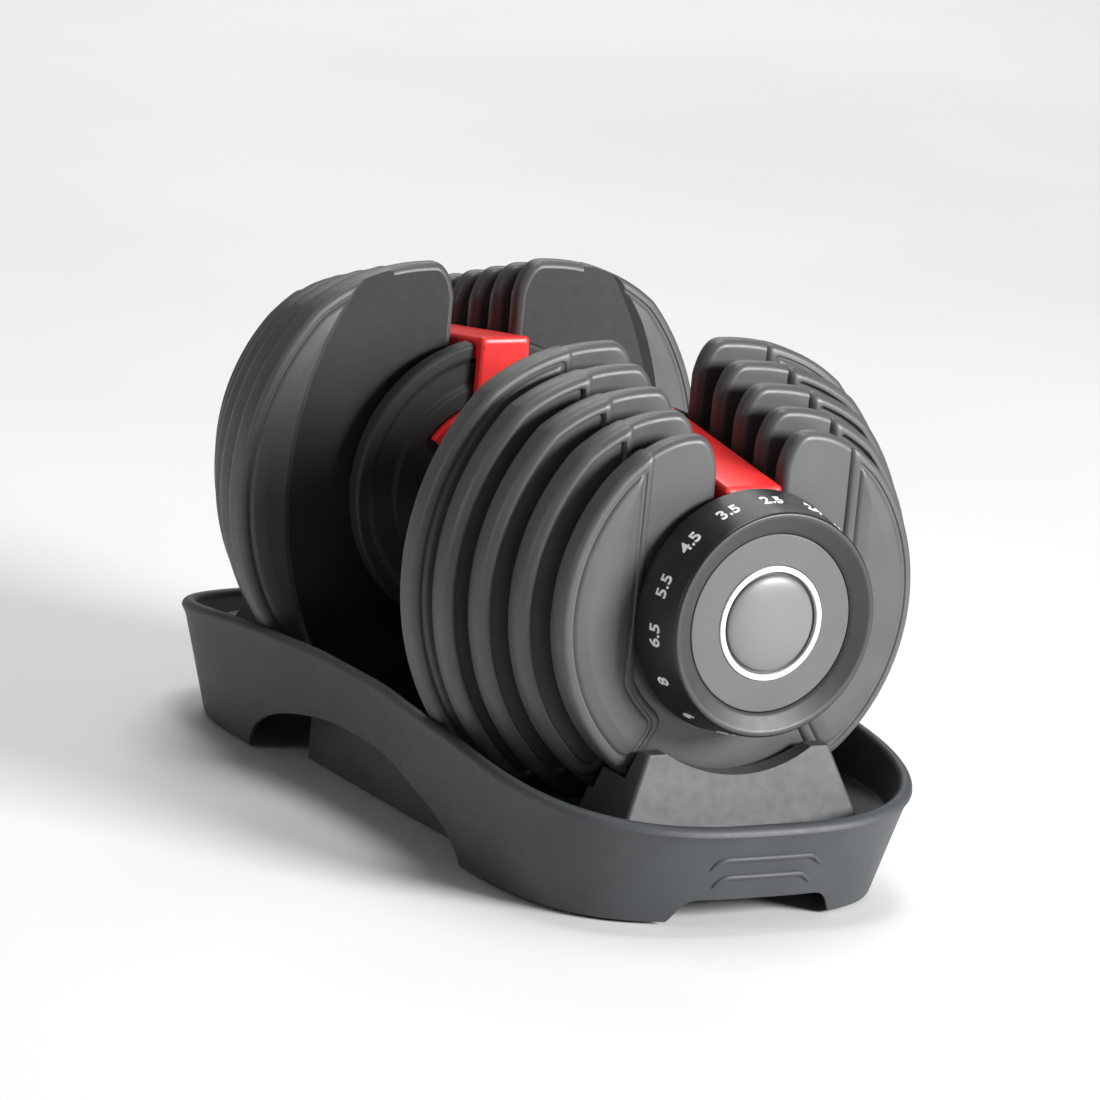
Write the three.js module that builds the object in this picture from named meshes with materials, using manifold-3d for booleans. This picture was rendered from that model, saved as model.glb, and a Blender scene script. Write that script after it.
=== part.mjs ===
// Adjustable dumbbell in its storage tray.
// Millimetres, X across, Y along the dumbbell's axis, Z up.
// The origin is on the standing surface, under the middle of the grip.

import * as THREE from 'three';
import { mergeVertices } from 'three/addons/utils/BufferGeometryUtils.js';
import Module from 'manifold-3d';

const wasm = await Module();
wasm.setup();

// ---------------------------------------------------------------- driving dimensions

const AXIS_HEIGHT = 128;         // the dumbbell's axis over the standing surface
const GAP = 0.3;                 // running or resting gap between neighbouring pieces
const ENDS = { front: Math.PI, rear: 0 };   // each end's turn about the upright axis

const PLATE_RADII = [117, 112, 105, 96, 86];     // from the grip outwards
const FIRST_PLATE_Y = 79;
const PLATE_PITCH = 18.5;
const PAD_THICK = 15;            // a plate across its side pads
const CORE_THICK = 9.5;          // a plate at its horns
const PAD_CHORD = 48;            // the pads start this far from the middle
const PAD_INNER_RADIUS = 56;     // the pads' lower edge runs round the dial
const PAD_END_ANGLE = 57;        // the pads end this far under the horizontal, degrees
const SLOT_HALF = 16;
const HORN_X = 28;
const HORN_TOP = 98;             // of the largest plate, over the axis
const HORN_STEP = 5.75;          // each smaller plate's horns are this much lower
const SHOULDER_ANGLE = 42;       // the round rim ends this far above the horizontal, degrees
const RIM_STEPS = 32;            // facets round a plate's rim

const FLANGE_INNER_Y = 59;
const FLANGE_THICK = 8.7;
const FLANGE_RADIUS = 66;
const GRIP_RADIUS = 17;
const TUBE_RADIUS = 12.5;
const TUBE_BORE = 9.5;

const BUSHING_RADIUS = 11;
const JOURNAL_RADIUS = 7;
const HEX_CORNER = 9;            // the selector shaft's hexagon, centre to corner
const SHAFT_END_Y = 175;

const DISC_RADIUS = 40;
const DISC_THICK = 3;
const DISC_TO_CORE = 2.95;
const DISC_HUB_RADIUS = 13;
const HOOK_REACH = 2.3;          // a plate's hook and a disc's ridge overlap along the axis
const HOOK_RADII = [24, 31];
const HOOK_HALF = 8;
const RIDGE_RADII = [33, 38];
const RIDGE_SPANS = [300, 252, 204, 156, 108];   // degrees of ridge on each disc

const DIAL_BACK_Y = 162.5;
const DIAL_FRONT_Y = 188;
const DIAL_BACK_RADIUS = 53;
const DIAL_FRONT_RADIUS = 48.6;
const DIAL_RECESS = 4;
const FACE_RADIUS = 38.5;
const TRIM_RADII = [22.3, 24.8];
const CAP_RADIUS = 20.6;
const TRIM_GROOVE = 1.6;         // the white ring and the cap sit this deep in the face
const FACE_THICK = 4;
const FACE_HUB_RADIUS = 15;
const SCREW_HOLE = { radius: 3.2, depth: 14 };
const SCREW_POCKET = { radius: 8.2, y: 179 };

const BRIDGE_TOP_OUTER = 53;     // over the axis, at the dial
const BRIDGE_TOP_INNER = 68;     // over the axis, at the flange
const BRIDGE_DEPTH = 10.5;
const BRIDGE_HALF_OUTER = 14;
const BRIDGE_HALF_INNER = 12.3;
const LEG_THICK = 4.6;
const COLLAR_RADII = [22, 39];
const COLLAR_ANGLE = 55;         // the collar's half angle, degrees

const TRAY_LENGTH = 412;
const TRAY_HALF_WIDTH = 101;
const TRAY_WAIST_HALF = 97;
const TRAY_BASE_INSET = 13;      // the walls lean in this much down to the floor
const TRAY_RIM_MIDDLE = 64;
const TRAY_RIM_END = 45;
const TRAY_BOTTOM = 1.2;         // the body stands on its rubber feet, clear of the floor
const TRAY_WALL = 3;
const TRAY_CORNER_POWER = 2.8;
const TRAY_END_START = 105;      // the rounded ends start here
const WELL_FLOOR = 4.5;
const WELL_HALF = 68;            // the open well under the grip
const DECK_HEIGHT = 38;          // the sunk floor round each saddle
const RIM_WIDTH = 6;
const DECK_DRAFT = 4.4;          // the rim's inner side leans in this much down to the deck
const POCKET_GAP = 0.7;          // round each plate
const POCKET_FACETS = 48;
const UNDERSIDE_FACETS = 24;
const SIDE_ARCH = { half: 97, height: 34 };
const END_ARCH = { half: 34, slope: 10, height: 12 };
const SADDLE = { y: 140, topDepth: 30, baseDepth: 38, top: 69, halfTop: 45, halfBase: 59, scoop: 69 };
const FOOT = { x: 62, y: 156, radius: 10, height: 4.5, boss: 13 };
const POST = { halfX: 6, halfY: 3, drop: 0.6 };

const LOCK_PIN = { radius: 2.5, length: 16, springRoom: 14 };
const LOCK_SPRING = { radius: 1.7, wire: 0.5, turns: 5 };
const DETENT = { x: 30, radius: 2.6, length: 4, nose: 1.5, tip: 0.8 };
const DETENT_SPRING = { radius: 1.6, wire: 0.35, turns: 2 };

// ---------------------------------------------------------------- materials

function finish(color, roughness, metalness) {
  return new THREE.MeshStandardMaterial({ color, roughness, metalness });
}

const MATERIALS = {
  plate: finish(0x3a3c3e, 0.55, 0.0),
  tray: finish(0x3c4144, 0.6, 0.0),
  dial: finish(0x161718, 0.5, 0.0),
  face: finish(0x6f7173, 0.5, 0.0),
  trim: finish(0xf2f2f2, 0.3, 0.0),
  cap: finish(0x76787a, 0.45, 0.0),
  bridge: finish(0xd8231f, 0.4, 0.0),
  flange: finish(0x1c1d1e, 0.6, 0.0),
  grip: finish(0x141414, 0.85, 0.0),
  steel: finish(0xb4b7ba, 0.3, 1.0),
  disc: finish(0x2a2b2d, 0.5, 0.0),
  bronze: finish(0xa8864a, 0.4, 1.0),
  foot: finish(0x101010, 0.9, 0.0),
};

// ---------------------------------------------------------------- geometry helpers

const toRadians = THREE.MathUtils.degToRad;

function merged(geometry) {
  geometry.deleteAttribute('normal');
  geometry.deleteAttribute('uv');
  return mergeVertices(geometry, 1e-4);
}

function solid(geometry) {
  const clean = merged(geometry);
  return new wasm.Manifold(new wasm.Mesh({
    numProp: 3,
    vertProperties: new Float32Array(clean.attributes.position.array),
    triVerts: new Uint32Array(clean.index.array),
  }));
}

function geometryOf(manifold) {
  const mesh = manifold.getMesh();
  const geometry = new THREE.BufferGeometry();
  geometry.setAttribute('position', new THREE.BufferAttribute(mesh.vertProperties, 3));
  geometry.setIndex(new THREE.BufferAttribute(mesh.triVerts, 1));
  geometry.computeVertexNormals();
  return geometry;
}

function union(solids) {
  return solids.reduce((whole, next) => whole.add(next));
}

// A shape drawn in X and Z, made thick along Y between two places, in either order.
function slab(shape, yA, yB, curveSegments = 12) {
  const geometry = new THREE.ExtrudeGeometry(shape, {
    depth: Math.abs(yB - yA), bevelEnabled: false, curveSegments,
  });
  geometry.rotateX(Math.PI / 2);
  geometry.translate(0, Math.max(yA, yB), 0);
  return solid(geometry);
}

// The geometry of a shape drawn in Y and Z, made thick along X from -half to +half.
function sideways(shape, half) {
  const geometry = new THREE.ExtrudeGeometry(shape, {
    depth: 2 * half, bevelEnabled: false, curveSegments: 12,
  });
  geometry.rotateY(Math.PI / 2);
  geometry.rotateX(Math.PI / 2);
  geometry.translate(-half, 0, 0);
  return geometry;
}

function box(x0, x1, y0, y1, z0, z1) {
  const geometry = new THREE.BoxGeometry(Math.abs(x1 - x0), Math.abs(y1 - y0), Math.abs(z1 - z0));
  geometry.translate((x0 + x1) / 2, (y0 + y1) / 2, (z0 + z1) / 2);
  return solid(geometry);
}

// A profile of [radius, y] points turned about a line along Y at x. It closes on itself, and it is
// given the way round that turns its faces out.
function turned(profile, segments = 32, x = 0) {
  const corners = profile.map(([radius, y]) => new THREE.Vector2(radius, y));
  if (THREE.ShapeUtils.isClockWise(corners)) corners.reverse();
  const geometry = new THREE.LatheGeometry([...corners, corners[0]], segments);
  geometry.translate(x, 0, 0);
  return solid(geometry);
}

// A round bar along Y, whose axis passes through x and z.
function bar(radius, y0, y1, segments = 24, x = 0, z = 0) {
  const geometry = new THREE.CylinderGeometry(radius, radius, Math.abs(y1 - y0), segments);
  geometry.translate(x, (y0 + y1) / 2, z);
  return solid(geometry);
}

function tube(inner, outer, y0, y1, segments = 24) {
  return bar(outer, y0, y1, segments).subtract(bar(inner, y0 - 1, y1 + 1, segments));
}

// A round bar along Z.
function post(radius, z0, z1, x, y, segments = 20) {
  const geometry = new THREE.CylinderGeometry(radius, radius, z1 - z0, segments);
  geometry.rotateX(Math.PI / 2);
  geometry.translate(x, y, (z0 + z1) / 2);
  return solid(geometry);
}

// A coil spring whose axis starts at the given point and runs along the given direction.
function spring(start, direction, length, { radius, wire, turns }) {
  const stepsPerTurn = 7;
  const side = new THREE.Vector3(1, 0, 0);
  const across = new THREE.Vector3().crossVectors(direction, side).normalize();
  const steps = turns * stepsPerTurn;
  const points = [];
  for (let step = 0; step <= steps; step += 1) {
    const angle = (step / stepsPerTurn) * 2 * Math.PI;
    points.push(start.clone()
      .addScaledVector(direction, wire + (length - 2 * wire) * (step / steps))
      .addScaledVector(side, radius * Math.cos(angle))
      .addScaledVector(across, radius * Math.sin(angle)));
  }
  const section = new THREE.Shape(new THREE.Path().absarc(0, 0, wire, 0, 2 * Math.PI).getPoints(2));
  return solid(new THREE.ExtrudeGeometry(section, {
    steps, extrudePath: new THREE.CatmullRomCurve3(points),
  }));
}

// ---------------------------------------------------------------- the assembly

const dumbbell = new THREE.Group();
const raised = new THREE.Group();        // everything drawn about the dumbbell's axis
raised.position.z = AXIS_HEIGHT;
dumbbell.add(raised);

// The end pieces are drawn for the rear end. The front end is the same group turned half round.
const endGroups = Object.entries(ENDS).map(([end, turn]) => {
  const group = new THREE.Group();
  group.rotation.z = turn;
  raised.add(group);
  return { end, group };
});

function place(group, name, manifold, material) {
  const mesh = new THREE.Mesh(geometryOf(manifold), material);
  mesh.name = name;
  group.add(mesh);
}

function placeAtBothEnds(name, manifold, material) {
  endGroups.forEach(({ end, group }) => place(group, `${name}_${end}`, manifold, material));
}

// ---------------------------------------------------------------- weight plates

function hornTop(index) {
  return HORN_TOP - HORN_STEP * index;
}

// The plate's outline: a round disc with an open slot between two horns.
function plateOutline(index) {
  const radius = PLATE_RADII[index];
  const shoulder = toRadians(SHOULDER_ANGLE);
  const shoulderX = radius * Math.cos(shoulder);
  const shoulderZ = radius * Math.sin(shoulder);
  const top = hornTop(index);
  const shape = new THREE.Shape();
  shape.moveTo(shoulderX, shoulderZ);
  shape.quadraticCurveTo(shoulderX * 0.72, top, HORN_X, top);
  shape.quadraticCurveTo(SLOT_HALF + 3, top, SLOT_HALF, top - 16);
  shape.lineTo(SLOT_HALF, 0);
  shape.absarc(0, 0, SLOT_HALF, 0, -Math.PI, true);
  shape.lineTo(-SLOT_HALF, top - 16);
  shape.quadraticCurveTo(-SLOT_HALF - 3, top, -HORN_X, top);
  shape.quadraticCurveTo(-shoulderX * 0.72, top, -shoulderX, shoulderZ);
  const rimSpan = 180 + 2 * SHOULDER_ANGLE;
  for (let step = 1; step < RIM_STEPS; step += 1) {
    const angle = toRadians(180 - SHOULDER_ANGLE + (rimSpan * step) / RIM_STEPS);
    shape.lineTo(radius * Math.cos(angle), radius * Math.sin(angle));
  }
  shape.closePath();
  return shape;
}

// Where a side pad can be: outside the chord above, outside the dial below.
function padRegion(side) {
  const reach = 140;
  const arcStart = Math.acos(PAD_CHORD / PAD_INNER_RADIUS);
  const arcEnd = toRadians(PAD_END_ANGLE);
  const shape = new THREE.Shape();
  shape.moveTo(side * PAD_CHORD, reach);
  for (let step = 0; step <= 4; step += 1) {
    const angle = arcStart + (arcEnd - arcStart) * (step / 4);
    shape.lineTo(side * PAD_INNER_RADIUS * Math.cos(angle), -PAD_INNER_RADIUS * Math.sin(angle));
  }
  shape.lineTo(side * reach * Math.cos(arcEnd), -reach * Math.sin(arcEnd));
  shape.lineTo(side * reach, -reach);
  shape.lineTo(side * reach, reach);
  shape.closePath();
  return shape;
}

function plateY(index) {
  return FIRST_PLATE_Y + PLATE_PITCH * index;
}

function plate(index) {
  const y = plateY(index);
  const outline = plateOutline(index);
  const full = slab(outline, y - PAD_THICK / 2, y + PAD_THICK / 2, 4);
  const core = slab(outline, y - CORE_THICK / 2, y + CORE_THICK / 2, 4);
  const padBlocks = [-1, 1].map((side) => slab(padRegion(side), y - 20, y + 20));
  const pads = full.intersect(union(padBlocks));
  const coreFace = y - CORE_THICK / 2;
  const hook = box(-HOOK_HALF, HOOK_HALF, coreFace - HOOK_REACH, y, -HOOK_RADII[1], -HOOK_RADII[0]);
  return union([core, pads, hook]);
}

PLATE_RADII.forEach((radius, index) => {
  placeAtBothEnds(`weight_plate_${index + 1}`, plate(index), MATERIALS.plate);
});

// ---------------------------------------------------------------- selector shaft and discs

function hexagon(corner, y0, y1) {
  return bar(corner, y0, y1, 6);
}

function discY(index) {
  return plateY(index) - CORE_THICK / 2 - DISC_TO_CORE - DISC_THICK;
}

// Each disc has a ridge that passes under the hook of its plate where that plate is picked up.
function selectorDisc(index) {
  const y = discY(index);
  const nextY = index < PLATE_RADII.length - 1 ? discY(index + 1) : DIAL_BACK_Y + 0.2;
  const disc = bar(DISC_RADIUS, y, y + DISC_THICK, 24);
  const hub = bar(DISC_HUB_RADIUS, y, nextY - GAP, 12);
  const span = toRadians(RIDGE_SPANS[index]);
  const middle = -Math.PI / 2;
  const sector = new THREE.Shape();
  sector.absarc(0, 0, RIDGE_RADII[1], middle - span / 2, middle + span / 2, false);
  sector.absarc(0, 0, RIDGE_RADII[0], middle + span / 2, middle - span / 2, true);
  sector.closePath();
  const ridge = slab(sector, y + DISC_THICK - 0.5, y + DISC_THICK + HOOK_REACH, 6);
  return union([disc, hub, ridge]).subtract(hexagon(HEX_CORNER + GAP, y - 1, nextY + 1));
}

PLATE_RADII.forEach((radius, index) => {
  placeAtBothEnds(`selector_disc_${index + 1}`, selectorDisc(index), MATERIALS.disc);
});

const FLANGE_OUTER_Y = FLANGE_INNER_Y + FLANGE_THICK;

function selectorShaft() {
  const journal = bar(JOURNAL_RADIUS, FLANGE_INNER_Y - 8, FLANGE_OUTER_Y + GAP, 20);
  const hex = hexagon(HEX_CORNER, FLANGE_OUTER_Y + GAP, SHAFT_END_Y);
  const screwHole = bar(SCREW_HOLE.radius, SHAFT_END_Y - SCREW_HOLE.depth, SHAFT_END_Y + 1, 12);
  return union([journal, hex]).subtract(screwHole);
}

placeAtBothEnds('selector_shaft', selectorShaft(), MATERIALS.steel);

// ---------------------------------------------------------------- dials

const FACE_Y = DIAL_FRONT_Y - DIAL_RECESS;

placeAtBothEnds('dial_ring', turned([
  [DIAL_BACK_RADIUS, DIAL_BACK_Y],
  [DIAL_FRONT_RADIUS, DIAL_FRONT_Y - 1],
  [DIAL_FRONT_RADIUS - 1, DIAL_FRONT_Y],
  [DIAL_FRONT_RADIUS - 2.2, DIAL_FRONT_Y],
  [FACE_RADIUS + GAP, FACE_Y + 0.2],
  [FACE_RADIUS + GAP, FACE_Y - FACE_THICK],
  [DIAL_BACK_RADIUS - 7, FACE_Y - FACE_THICK - 2],
  [DIAL_BACK_RADIUS - 6, DIAL_BACK_Y],
], 40), MATERIALS.dial);

placeAtBothEnds('dial_face', turned([
  [SCREW_POCKET.radius, DIAL_BACK_Y + 0.5],
  [FACE_HUB_RADIUS, DIAL_BACK_Y + 0.5],
  [FACE_HUB_RADIUS, FACE_Y - FACE_THICK],
  [FACE_RADIUS, FACE_Y - FACE_THICK],
  [FACE_RADIUS, FACE_Y],
  [TRIM_RADII[1] + GAP, FACE_Y],
  [TRIM_RADII[1] + GAP, FACE_Y - TRIM_GROOVE],
  [CAP_RADIUS - 2, FACE_Y - TRIM_GROOVE],
  [SCREW_POCKET.radius, FACE_Y - TRIM_GROOVE],
], 32).add(bar(FACE_HUB_RADIUS - 2, DIAL_BACK_Y + 0.5, SCREW_POCKET.y, 24))
  .subtract(hexagon(HEX_CORNER + GAP, DIAL_BACK_Y - 1, SHAFT_END_Y + GAP))
  .subtract(bar(SCREW_HOLE.radius, SHAFT_END_Y - 2, SCREW_POCKET.y + 1, 12)), MATERIALS.face);

placeAtBothEnds('dial_trim_ring', tube(
  TRIM_RADII[0], TRIM_RADII[1], FACE_Y - TRIM_GROOVE + GAP, FACE_Y + 0.7, 32), MATERIALS.trim);

placeAtBothEnds('dial_cap', turned([
  [0, FACE_Y - TRIM_GROOVE + GAP],
  [CAP_RADIUS, FACE_Y - TRIM_GROOVE + GAP],
  [CAP_RADIUS, FACE_Y + 0.3],
  [CAP_RADIUS - 2, FACE_Y + 1.2],
  [CAP_RADIUS * 0.55, FACE_Y + 2.1],
  [0, FACE_Y + 2.5],
], 24), MATERIALS.cap);

placeAtBothEnds('end_screw', union([
  bar(SCREW_POCKET.radius - 1, SCREW_POCKET.y + GAP, SCREW_POCKET.y + 3, 16),
  bar(SCREW_HOLE.radius - GAP, SHAFT_END_Y - 10, SCREW_POCKET.y + 1, 12),
]), MATERIALS.steel);

// ---------------------------------------------------------------- handle

place(raised, 'handle_tube',
  tube(TUBE_BORE, TUBE_RADIUS, -FLANGE_INNER_Y + GAP, FLANGE_INNER_Y - GAP), MATERIALS.steel);

// The grip swells in the middle and has a plain end ring at each flange.
const gripProfile = [[TUBE_RADIUS + GAP, -FLANGE_INNER_Y + GAP]];
for (const y of [-58.7, -50, -25, 0, 25, 50, 58.7]) {
  const swell = 1.6 * Math.cos((y / 50) * (Math.PI / 2)) ** 2;
  gripProfile.push([GRIP_RADIUS - 1.6 + (Math.abs(y) < 50 ? swell : 0), y]);
}
gripProfile.push([TUBE_RADIUS + GAP, FLANGE_INNER_Y - GAP]);
place(raised, 'grip_sleeve', turned(gripProfile, 24), MATERIALS.grip);

placeAtBothEnds('shaft_bushing', tube(
  JOURNAL_RADIUS + GAP, BUSHING_RADIUS, FLANGE_INNER_Y, FLANGE_OUTER_Y, 24), MATERIALS.bronze);

// ---------------------------------------------------------------- bridges

const BRIDGE_SLOPE = (BRIDGE_TOP_INNER - BRIDGE_TOP_OUTER) / (DIAL_BACK_Y - FLANGE_INNER_Y);
const LEG_Y = FLANGE_INNER_Y - GAP - LEG_THICK;
const BRIDGE_END_Y = DIAL_BACK_Y - 0.8;
const BRIDGE_CORNER = 3;

function bridgeTop(y) {
  return BRIDGE_TOP_OUTER + BRIDGE_SLOPE * (DIAL_BACK_Y - y);
}

// The side view: a sloping beam over the discs, with a leg down the flange's inner side.
function bridgeSide() {
  const collarTop = COLLAR_RADII[1] - 3;
  const shape = new THREE.Shape();
  shape.moveTo(BRIDGE_END_Y, bridgeTop(BRIDGE_END_Y));
  shape.lineTo(LEG_Y + BRIDGE_CORNER, bridgeTop(LEG_Y + BRIDGE_CORNER));
  shape.lineTo(LEG_Y, bridgeTop(LEG_Y) - BRIDGE_CORNER);
  shape.lineTo(LEG_Y, collarTop);
  shape.lineTo(LEG_Y + LEG_THICK, collarTop);
  shape.lineTo(LEG_Y + LEG_THICK, bridgeTop(FLANGE_INNER_Y) - BRIDGE_DEPTH);
  shape.lineTo(BRIDGE_END_Y, bridgeTop(BRIDGE_END_Y) - BRIDGE_DEPTH);
  shape.closePath();
  return shape;
}

// The beam is drawn 1 mm to each side, then widened, and it narrows evenly towards the grip.
function beam() {
  const geometry = sideways(bridgeSide(), 1);
  const position = geometry.attributes.position;
  for (let at = 0; at < position.count; at += 1) {
    const share = (position.getY(at) - LEG_Y) / (BRIDGE_END_Y - LEG_Y);
    const half = THREE.MathUtils.lerp(BRIDGE_HALF_INNER, BRIDGE_HALF_OUTER, share);
    position.setX(at, position.getX(at) * half);
  }
  return solid(geometry);
}

function collarSector() {
  const half = toRadians(COLLAR_ANGLE);
  const shape = new THREE.Shape();
  shape.absarc(0, 0, COLLAR_RADII[1], Math.PI / 2 - half, Math.PI / 2 + half, false);
  shape.absarc(0, 0, COLLAR_RADII[0], Math.PI / 2 + half, Math.PI / 2 - half, true);
  shape.closePath();
  return slab(shape, LEG_Y, LEG_Y + LEG_THICK, 14);
}

placeAtBothEnds('selector_bridge', beam().add(collarSector()), MATERIALS.bridge);

// ---------------------------------------------------------------- flanges, lock pins, detents

const LOCK_Y = FLANGE_INNER_Y + FLANGE_THICK / 2;
const PIN_BOTTOM = -FLANGE_RADIUS - GAP;
const PIN_TOP = PIN_BOTTOM + LOCK_PIN.length;
const DETENT_TIP = FLANGE_OUTER_Y - GAP;
const DETENT_BACK = DETENT_TIP - DETENT.length;
const DETENT_HOLE_Y = FLANGE_INNER_Y + 1.5;

function flange() {
  const notch = box(-BRIDGE_HALF_OUTER, BRIDGE_HALF_OUTER, FLANGE_INNER_Y - 1, FLANGE_OUTER_Y + 1,
    bridgeTop(FLANGE_OUTER_Y) - BRIDGE_DEPTH - 1, FLANGE_RADIUS + 5);
  const pinHole = post(LOCK_PIN.radius + GAP, -FLANGE_RADIUS - 1, PIN_TOP + LOCK_PIN.springRoom, 0, LOCK_Y);
  const detentHole = bar(DETENT.radius + GAP, DETENT_HOLE_Y, FLANGE_OUTER_Y + 1, 16, DETENT.x);
  return bar(FLANGE_RADIUS, FLANGE_INNER_Y, FLANGE_OUTER_Y, 44)
    .subtract(bar(BUSHING_RADIUS + GAP, FLANGE_INNER_Y - 1, FLANGE_OUTER_Y + 1, 24))
    .subtract(notch)
    .subtract(pinHole)
    .subtract(detentHole);
}

placeAtBothEnds('inner_flange', flange(), MATERIALS.flange);

placeAtBothEnds('lock_pin', post(LOCK_PIN.radius, PIN_BOTTOM, PIN_TOP, 0, LOCK_Y), MATERIALS.steel);

placeAtBothEnds('lock_spring', spring(
  new THREE.Vector3(0, LOCK_Y, PIN_TOP + GAP), new THREE.Vector3(0, 0, 1),
  LOCK_PIN.springRoom - 2 * GAP, LOCK_SPRING), MATERIALS.steel);

placeAtBothEnds('detent_plunger', turned([
  [0, DETENT_BACK],
  [DETENT.radius, DETENT_BACK],
  [DETENT.radius, DETENT_TIP - DETENT.nose],
  [DETENT.tip, DETENT_TIP],
  [0, DETENT_TIP],
], 16, DETENT.x), MATERIALS.steel);

placeAtBothEnds('detent_spring', spring(
  new THREE.Vector3(DETENT.x, DETENT_HOLE_Y + 0.1, 0), new THREE.Vector3(0, 1, 0),
  DETENT_BACK - DETENT_HOLE_Y - 0.2, DETENT_SPRING), MATERIALS.steel);

// ---------------------------------------------------------------- storage tray

const TRAY_END_Y = TRAY_LENGTH / 2;

function smooth(value, low, high) {
  const share = THREE.MathUtils.clamp((value - low) / (high - low), 0, 1);
  return share * share * (3 - 2 * share);
}

// The rim is level along the sides and sinks towards the ends.
function rimHeight(y) {
  const along = Math.abs(y);
  const fall = THREE.MathUtils.clamp((along - 40) / (TRAY_END_Y - 40), 0, 1);
  return TRAY_RIM_MIDDLE - (TRAY_RIM_MIDDLE - TRAY_RIM_END) * fall ** 1.7;
}

// One closed ring of plan points, moved in from the rim's outline by the inset.
function planRing(inset) {
  const width = TRAY_HALF_WIDTH - inset;
  const waist = TRAY_WAIST_HALF - inset;
  const endDepth = TRAY_END_Y - TRAY_END_START - inset;
  const power = 2 / TRAY_CORNER_POWER;
  const quarter = [];
  for (const y of [0, 35, 50, 65]) {
    quarter.push([THREE.MathUtils.lerp(waist, width, smooth(y, 20, 66)), y]);
  }
  for (let step = 0; step <= 9; step += 1) {
    const angle = (step / 9) * (Math.PI / 2);
    const x = width * Math.max(0, Math.cos(angle)) ** power;
    quarter.push([x, TRAY_END_START + endDepth * Math.sin(angle) ** power]);
  }
  const rear = [...quarter, ...quarter.slice(0, -1).reverse().map(([x, y]) => [-x, y])];
  const front = rear.slice(1, -1).reverse().map(([x, y]) => [x, -y]);
  return [...rear, ...front];
}

// A solid between a flat ring at the bottom and a ring at heights given by the top function.
function loft(bottomInset, bottomZ, topInset, topZ) {
  const bottom = planRing(bottomInset);
  const top = planRing(topInset);
  const count = bottom.length;
  const positions = [];
  bottom.forEach(([x, y]) => positions.push(x, y, bottomZ));
  top.forEach(([x, y]) => positions.push(x, y, topZ(y)));
  positions.push(0, 0, bottomZ, 0, 0, topZ(0));
  const index = [];
  for (let at = 0; at < count; at += 1) {
    const next = (at + 1) % count;
    index.push(at, next, count + next, at, count + next, count + at);
    index.push(2 * count, next, at, 2 * count + 1, count + at, count + next);
  }
  const geometry = new THREE.BufferGeometry();
  geometry.setAttribute('position', new THREE.Float32BufferAttribute(positions, 3));
  geometry.setIndex(index);
  return solid(geometry);
}

// Round pockets that hold the plates, one radius for each plate, at both ends.
function wells(extra, segments) {
  const half = PLATE_PITCH / 2 + extra;
  const pocket = (radius, y) => (
    bar(radius + POCKET_GAP + extra, y - half, y + half, segments, 0, AXIS_HEIGHT));
  return union(PLATE_RADII.flatMap((radius, index) => (
    [-1, 1].map((sign) => pocket(radius, sign * plateY(index))))));
}

// The open well under the grip, between the two sets of pockets.
function middleWell(extra) {
  const half = WELL_HALF + extra;
  const end = plateY(0) - PLATE_PITCH / 2 + 0.5 + extra;
  return box(-half, half, -end, end, WELL_FLOOR - extra, TRAY_RIM_MIDDLE + 20);
}

// The sunk deck inside the rim, all round the plates and the saddles.
function deckCut(inset, floor) {
  return loft(inset + DECK_DRAFT, floor, inset, () => TRAY_RIM_MIDDLE + 20);
}

// A pedestal with sloping front and sides under each dial, scooped out round the dial.
function saddle(sign, shrink) {
  const { y, topDepth, baseDepth, top, halfTop, halfBase, scoop } = SADDLE;
  const base = DECK_HEIGHT - 1;
  const plan = new THREE.Shape();
  plan.moveTo(-halfBase + shrink, base - shrink);
  plan.lineTo(halfBase - shrink, base - shrink);
  plan.lineTo(halfTop - shrink, top - shrink);
  plan.lineTo(-halfTop + shrink, top - shrink);
  plan.closePath();
  const lean = new THREE.Shape();
  lean.moveTo(sign * (y + shrink), base - shrink - 1);
  lean.lineTo(sign * (y + baseDepth - shrink), base - shrink - 1);
  lean.lineTo(sign * (y + topDepth - shrink), top + 1);
  lean.lineTo(sign * (y + shrink), top + 1);
  lean.closePath();
  return slab(plan, sign * (y - 1), sign * (y + baseDepth + 1))
    .intersect(solid(sideways(lean, halfBase + 1)))
    .subtract(bar(scoop + shrink, sign * (y - 5), sign * (y + baseDepth + 5), 48, 0, AXIS_HEIGHT));
}

// The low arches through both side walls, clear of the middle well's walls.
function sideArches() {
  const below = -10;
  const shape = new THREE.Shape();
  shape.absellipse(0, 0, SIDE_ARCH.half, SIDE_ARCH.height, 0, Math.PI, false, 0);
  shape.lineTo(-SIDE_ARCH.half, below);
  shape.lineTo(SIDE_ARCH.half, below);
  shape.closePath();
  const kept = WELL_HALF + TRAY_WALL + 1;
  const middle = box(-kept, kept, -TRAY_END_Y, TRAY_END_Y, below * 2, SIDE_ARCH.height + 1);
  return solid(sideways(shape, TRAY_HALF_WIDTH + 10)).subtract(middle);
}

// The raised bottom edge in an end wall, between two feet.
function endArch(sign) {
  const { half, slope, height } = END_ARCH;
  const shape = new THREE.Shape();
  shape.moveTo(-half - slope, -5);
  shape.lineTo(half + slope, -5);
  shape.lineTo(half, height);
  shape.lineTo(-half, height);
  shape.closePath();
  return slab(shape, sign * (FOOT.y + FOOT.boss + 1), sign * (TRAY_END_Y + 5));
}

// The post that holds a lock pin up while the dumbbell is in the tray.
function lockPost(sign) {
  return box(-POST.halfX, POST.halfX, sign * LOCK_Y - POST.halfY, sign * LOCK_Y + POST.halfY,
    WELL_FLOOR - 1, AXIS_HEIGHT + PIN_BOTTOM - POST.drop);
}

function feetPlaces() {
  return [-1, 1].flatMap((sideX) => [-1, 1].map((sideY) => [sideX * FOOT.x, sideY * FOOT.y]));
}

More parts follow.
